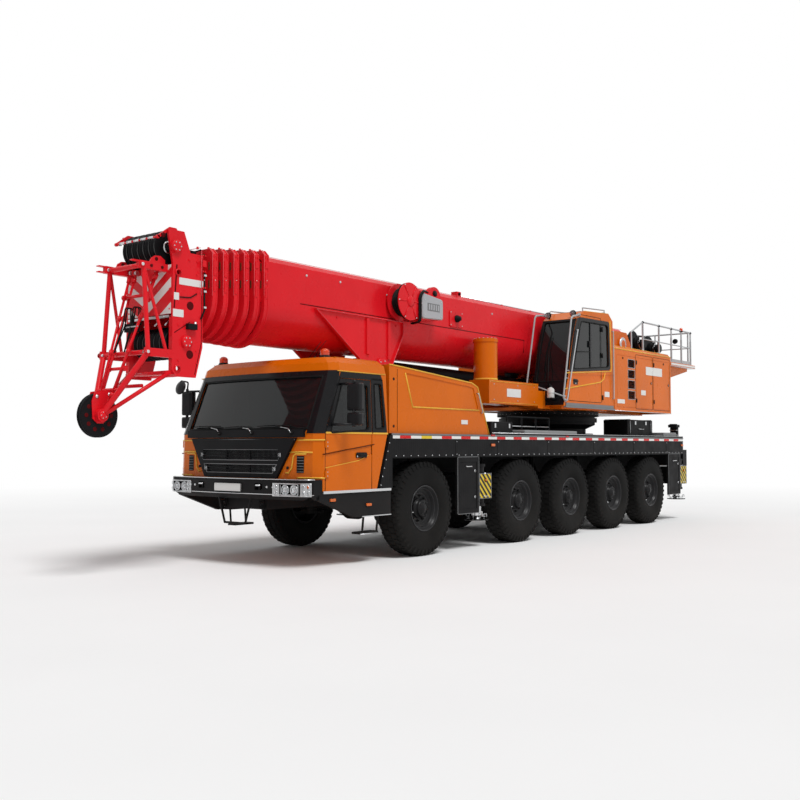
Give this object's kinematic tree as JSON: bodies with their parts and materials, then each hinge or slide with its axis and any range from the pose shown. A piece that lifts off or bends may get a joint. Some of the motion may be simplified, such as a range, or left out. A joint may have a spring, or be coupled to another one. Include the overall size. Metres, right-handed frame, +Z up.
{
  "type": "mobile crane",
  "caption": "Mobile crane on a wheeled carrier, with a slewing upper frame, operator cab, luffing telescopic boom and sliding outriggers.",
  "frame": {"origin": "on the ground under the middle of the overall length, on the centre plane of the carrier", "axes": "+X points to the front of the carrier and along the lowered boom, +Y to the carrier's left, +Z up"},
  "size_m": [15.11, 3.49, 4.2298],
  "materials": {
    "boom": "gloss paint",
    "sheave": "cast nylon",
    "orange": "gloss paint",
    "chassis": "satin paint",
    "deck": "satin paint",
    "steel": "polished",
    "cylinder": "satin paint",
    "glass": "tinted",
    "trim": "moulded",
    "lamp": "clear",
    "tyre": "matt"
  },
  "bodies": {
    "carrier": {"chassis_frame": "chassis", "carrier_deck": "deck", "cab_shell": "orange", "cab_glass": "glass", "cab_interior": "trim", "front_bumper": "chassis", "front_grille": "chassis", "lamps": "lamp", "engine_hood": "orange", "axle_beams": "chassis"},
    "superstructure": {"slew_ring": "chassis", "slew_frame": "orange", "operator_cab": "orange", "operator_glass": "glass", "operator_seat": "trim", "side_cabinets": "orange", "platform_rails": "steel", "winches": "chassis"},
    "boom_base": {"boom_base": "boom"},
    "luff_barrel": {"luff_barrel": "cylinder"},
    "luff_rod": {"luff_rod": "steel"},
    "section_1": {"boom_section_1": "boom"},
    "section_2": {"boom_section_2": "boom"},
    "section_3": {"boom_section_3": "boom"},
    "section_4": {"boom_section_4": "boom"},
    "section_5": {"boom_section_5": "boom"},
    "section_6": {"boom_section_6": "boom", "boom_head": "boom", "head_sheaves": "sheave", "runner_nose": "boom"},
    "door_left": {"door_left": "orange", "door_glass_left": "glass"},
    "door_right": {"door_right": "orange", "door_glass_right": "glass"},
    "wheel_l1": {"wheel_l1": "tyre"},
    "knuckle_l1": {"knuckle_l1": "chassis"},
    "wheel_r1": {"wheel_r1": "tyre"},
    "knuckle_r1": {"knuckle_r1": "chassis"},
    "wheel_l2": {"wheel_l2": "tyre"},
    "knuckle_l2": {"knuckle_l2": "chassis"},
    "wheel_r2": {"wheel_r2": "tyre"},
    "knuckle_r2": {"knuckle_r2": "chassis"},
    "wheel_l3": {"wheel_l3": "tyre"},
    "wheel_r3": {"wheel_r3": "tyre"},
    "wheel_l4": {"wheel_l4": "tyre"},
    "knuckle_l4": {"knuckle_l4": "chassis"},
    "wheel_r4": {"wheel_r4": "tyre"},
    "knuckle_r4": {"knuckle_r4": "chassis"},
    "wheel_l5": {"wheel_l5": "tyre"},
    "knuckle_l5": {"knuckle_l5": "chassis"},
    "wheel_r5": {"wheel_r5": "tyre"},
    "knuckle_r5": {"knuckle_r5": "chassis"},
    "beam_front_left": {"beam_front_left": "deck"},
    "jack_front_left": {"jack_front_left": "steel"},
    "beam_front_right": {"beam_front_right": "deck"},
    "jack_front_right": {"jack_front_right": "steel"},
    "beam_rear_left": {"beam_rear_left": "deck"},
    "jack_rear_left": {"jack_rear_left": "steel"},
    "beam_rear_right": {"beam_rear_right": "deck"},
    "jack_rear_right": {"jack_rear_right": "steel"}
  },
  "joints": [
    {"name": "slew", "type": "hinge", "parent": "carrier", "child": "superstructure", "pos_m": [-3.195, 0, 2.05], "axis": [0, 0, 1], "continuous": true},
    {"name": "luff", "type": "hinge", "parent": "superstructure", "child": "boom_base", "pos_m": [-5.295, 0, 3.75], "axis": [0, -1, 0], "range_deg": [0, 82]},
    {"name": "luff_barrel_swing", "type": "hinge", "parent": "superstructure", "child": "luff_barrel", "pos_m": [-2.295, 0, 2.74], "axis": [0, -1, 0], "range_deg": [0, 95.9]},
    {"name": "luff_rod_stroke", "type": "slide", "parent": "luff_barrel", "child": "luff_rod", "axis": [0.9999, 0, 0.012], "range_m": [0, 3.855]},
    {"name": "tele_1", "type": "slide", "parent": "boom_base", "child": "section_1", "axis": [1, 0, 0], "range_m": [0, 8]},
    {"name": "tele_2", "type": "slide", "parent": "section_1", "child": "section_2", "axis": [1, 0, 0], "range_m": [0, 8]},
    {"name": "tele_3", "type": "slide", "parent": "section_2", "child": "section_3", "axis": [1, 0, 0], "range_m": [0, 8]},
    {"name": "tele_4", "type": "slide", "parent": "section_3", "child": "section_4", "axis": [1, 0, 0], "range_m": [0, 8]},
    {"name": "tele_5", "type": "slide", "parent": "section_4", "child": "section_5", "axis": [1, 0, 0], "range_m": [0, 8]},
    {"name": "tele_6", "type": "slide", "parent": "section_5", "child": "section_6", "axis": [1, 0, 0], "range_m": [0, 8]},
    {"name": "door_left_swing", "type": "hinge", "parent": "carrier", "child": "door_left", "pos_m": [4.86, 1.392, 1.225], "axis": [0, 0, -1], "range_deg": [0, 70]},
    {"name": "door_right_swing", "type": "hinge", "parent": "carrier", "child": "door_right", "pos_m": [4.86, -1.392, 1.225], "axis": [0, 0, 1], "range_deg": [0, 70]},
    {"name": "steer_l1", "type": "hinge", "parent": "carrier", "child": "knuckle_l1", "pos_m": [2.705, 0.9, 0.685], "axis": [0, 0, 1], "range_deg": [-36, 36]},
    {"name": "spin_l1", "type": "hinge", "parent": "knuckle_l1", "child": "wheel_l1", "pos_m": [2.705, 1.1825, 0.685], "axis": [0, 1, 0], "continuous": true},
    {"name": "steer_r1", "type": "hinge", "parent": "carrier", "child": "knuckle_r1", "pos_m": [2.705, -0.9, 0.685], "axis": [0, 0, 1], "range_deg": [-36, 36]},
    {"name": "spin_r1", "type": "hinge", "parent": "knuckle_r1", "child": "wheel_r1", "pos_m": [2.705, -1.1825, 0.685], "axis": [0, 1, 0], "continuous": true},
    {"name": "steer_l2", "type": "hinge", "parent": "carrier", "child": "knuckle_l2", "pos_m": [0.055, 0.9, 0.685], "axis": [0, 0, 1], "range_deg": [-26, 26]},
    {"name": "spin_l2", "type": "hinge", "parent": "knuckle_l2", "child": "wheel_l2", "pos_m": [0.055, 1.1825, 0.685], "axis": [0, 1, 0], "continuous": true},
    {"name": "steer_r2", "type": "hinge", "parent": "carrier", "child": "knuckle_r2", "pos_m": [0.055, -0.9, 0.685], "axis": [0, 0, 1], "range_deg": [-26, 26]},
    {"name": "spin_r2", "type": "hinge", "parent": "knuckle_r2", "child": "wheel_r2", "pos_m": [0.055, -1.1825, 0.685], "axis": [0, 1, 0], "continuous": true},
    {"name": "spin_l3", "type": "hinge", "parent": "carrier", "child": "wheel_l3", "pos_m": [-1.645, 1.1825, 0.685], "axis": [0, 1, 0], "continuous": true},
    {"name": "spin_r3", "type": "hinge", "parent": "carrier", "child": "wheel_r3", "pos_m": [-1.645, -1.1825, 0.685], "axis": [0, 1, 0], "continuous": true},
    {"name": "steer_l4", "type": "hinge", "parent": "carrier", "child": "knuckle_l4", "pos_m": [-3.345, 0.9, 0.685], "axis": [0, 0, 1], "range_deg": [-16, 16]},
    {"name": "spin_l4", "type": "hinge", "parent": "knuckle_l4", "child": "wheel_l4", "pos_m": [-3.345, 1.1825, 0.685], "axis": [0, 1, 0], "continuous": true},
    {"name": "steer_r4", "type": "hinge", "parent": "carrier", "child": "knuckle_r4", "pos_m": [-3.345, -0.9, 0.685], "axis": [0, 0, 1], "range_deg": [-16, 16]},
    {"name": "spin_r4", "type": "hinge", "parent": "knuckle_r4", "child": "wheel_r4", "pos_m": [-3.345, -1.1825, 0.685], "axis": [0, 1, 0], "continuous": true},
    {"name": "steer_l5", "type": "hinge", "parent": "carrier", "child": "knuckle_l5", "pos_m": [-5.045, 0.9, 0.685], "axis": [0, 0, 1], "range_deg": [-24, 24]},
    {"name": "spin_l5", "type": "hinge", "parent": "knuckle_l5", "child": "wheel_l5", "pos_m": [-5.045, 1.1825, 0.685], "axis": [0, 1, 0], "continuous": true},
    {"name": "steer_r5", "type": "hinge", "parent": "carrier", "child": "knuckle_r5", "pos_m": [-5.045, -0.9, 0.685], "axis": [0, 0, 1], "range_deg": [-24, 24]},
    {"name": "spin_r5", "type": "hinge", "parent": "knuckle_r5", "child": "wheel_r5", "pos_m": [-5.045, -1.1825, 0.685], "axis": [0, 1, 0], "continuous": true},
    {"name": "beam_front_left_slide", "type": "slide", "parent": "carrier", "child": "beam_front_left", "axis": [0, 1, 0], "range_m": [0, 1.85]},
    {"name": "jack_front_left_drop", "type": "slide", "parent": "beam_front_left", "child": "jack_front_left", "axis": [0, 0, -1], "range_m": [0, 0.6]},
    {"name": "beam_front_right_slide", "type": "slide", "parent": "carrier", "child": "beam_front_right", "axis": [0, -1, 0], "range_m": [0, 1.85]},
    {"name": "jack_front_right_drop", "type": "slide", "parent": "beam_front_right", "child": "jack_front_right", "axis": [0, 0, -1], "range_m": [0, 0.6]},
    {"name": "beam_rear_left_slide", "type": "slide", "parent": "carrier", "child": "beam_rear_left", "axis": [0, 1, 0], "range_m": [0, 1.85]},
    {"name": "jack_rear_left_drop", "type": "slide", "parent": "beam_rear_left", "child": "jack_rear_left", "axis": [0, 0, -1], "range_m": [0, 0.6]},
    {"name": "beam_rear_right_slide", "type": "slide", "parent": "carrier", "child": "beam_rear_right", "axis": [0, -1, 0], "range_m": [0, 1.85]},
    {"name": "jack_rear_right_drop", "type": "slide", "parent": "beam_rear_right", "child": "jack_rear_right", "axis": [0, 0, -1], "range_m": [0, 0.6]}
  ],
  "couplings": [
    {"joint": "luff_barrel_swing", "follows": "luff", "ratio": 1.164},
    {"joint": "luff_rod_stroke", "follows": "luff", "m_per_rad": 2.6903},
    {"joint": "tele_2", "follows": "tele_1", "ratio": 1},
    {"joint": "tele_3", "follows": "tele_1", "ratio": 1},
    {"joint": "tele_4", "follows": "tele_1", "ratio": 1},
    {"joint": "tele_5", "follows": "tele_1", "ratio": 1},
    {"joint": "tele_6", "follows": "tele_1", "ratio": 1},
    {"joint": "steer_r1", "follows": "steer_l1", "ratio": 1},
    {"joint": "steer_l2", "follows": "steer_l1", "ratio": 0.72},
    {"joint": "steer_r2", "follows": "steer_l1", "ratio": 0.72},
    {"joint": "steer_l4", "follows": "steer_l5", "ratio": 0.66},
    {"joint": "steer_r4", "follows": "steer_l5", "ratio": 0.66},
    {"joint": "steer_r5", "follows": "steer_l5", "ratio": 1}
  ]
}
